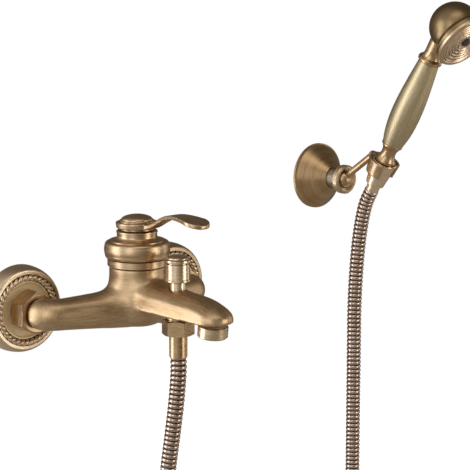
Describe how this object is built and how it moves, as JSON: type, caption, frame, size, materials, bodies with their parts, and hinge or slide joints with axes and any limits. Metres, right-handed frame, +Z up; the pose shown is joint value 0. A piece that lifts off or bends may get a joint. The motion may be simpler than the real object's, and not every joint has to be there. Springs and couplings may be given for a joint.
{
  "type": "bath shower mixer",
  "caption": "Wall bath mixer in aged brushed brass: lever on a bell cover, arched spout with pull-up diverter, rope-edged rosettes, ribbed hose and hand shower on a swivel wall bracket.",
  "frame": {"origin": "on the finished wall face, midway between the two inlet axes", "axes": "+X along the wall to the right as the user faces it, +Y into the wall along the inlets, +Z up; the spout points to -Y"},
  "size_m": [0.3965, 0.2063, 0.7616],
  "materials": {
    "aged_brass": "antique brushed, brown in the brushed lines",
    "grip_brass": "lighter khaki-gold brushed",
    "hose_brass": "satin bronze ribs",
    "steel": "plain",
    "rubber": "matt black",
    "plastic": "off-white",
    "fibre": "brown fibre"
  },
  "bodies": {
    "mixer": {"inlet_union_hot": "aged_brass", "inlet_union_cold": "aged_brass", "union_washer_hot": "fibre", "union_washer_cold": "fibre", "tailpiece_hot": "aged_brass", "tailpiece_cold": "aged_brass", "union_nut_hot": "aged_brass", "union_nut_cold": "aged_brass", "rosette_hot": "aged_brass", "rosette_cold": "aged_brass", "rope_ring_hot": "aged_brass", "rope_ring_cold": "aged_brass", "mixer_body": "aged_brass", "cartridge_seal": "rubber", "cartridge_body": "plastic", "cartridge_nut": "aged_brass", "bell_cover": "aged_brass", "diverter_bush": "aged_brass", "aerator_gasket": "rubber", "aerator_insert": "plastic", "aerator_ring": "aged_brass", "shower_nipple": "aged_brass", "hose_nut": "aged_brass", "hose_washer": "rubber", "hose_sleeve": "aged_brass", "hose_lower": "hose_brass", "bracket_plate": "steel", "bracket_rose": "aged_brass", "bracket_socket": "steel", "ring_nut": "aged_brass"},
    "lever_turn": {"cartridge_rotor": "plastic", "stem_pin": "steel"},
    "lever": {"cartridge_stem": "steel", "lever_handle": "aged_brass", "handle_screw": "steel", "dome_cap": "aged_brass"},
    "diverter": {"diverter_knob": "aged_brass", "diverter_stem": "steel", "diverter_valve": "plastic", "diverter_seal": "rubber"},
    "holder": {"bracket_arm": "aged_brass", "hose_upper": "hose_brass"},
    "handset": {"cone_nut": "aged_brass", "cone_washer": "rubber", "cone_sleeve": "aged_brass", "handset_base": "aged_brass", "handset_grip": "grip_brass", "handset_neck": "aged_brass", "head_shell": "aged_brass", "spray_plate": "aged_brass", "spray_bezel": "aged_brass", "plate_screw": "rubber"}
  },
  "joints": [
    {"name": "lever_swivel", "type": "hinge", "parent": "mixer", "child": "lever_turn", "pos_m": [0, -0.05797, 0.0465], "axis": [0, 0, 1], "range_deg": [-45, 45]},
    {"name": "lever_lift", "type": "hinge", "parent": "lever_turn", "child": "lever", "pos_m": [0, -0.05797, 0.0465], "axis": [-1, 0, 0], "range_deg": [0, 18]},
    {"name": "diverter_pull", "type": "slide", "parent": "mixer", "child": "diverter", "axis": [0, 0, 1], "range_m": [0, 0.007]},
    {"name": "bracket_swivel", "type": "hinge", "parent": "mixer", "child": "holder", "pos_m": [0.257, -0.0338, 0.075], "axis": [0, 0, 1], "range_deg": [-20, 20]},
    {"name": "handset_lift", "type": "slide", "parent": "holder", "child": "handset", "axis": [0, -0.4833, 0.8755], "range_m": [0, 0.04]}
  ]
}
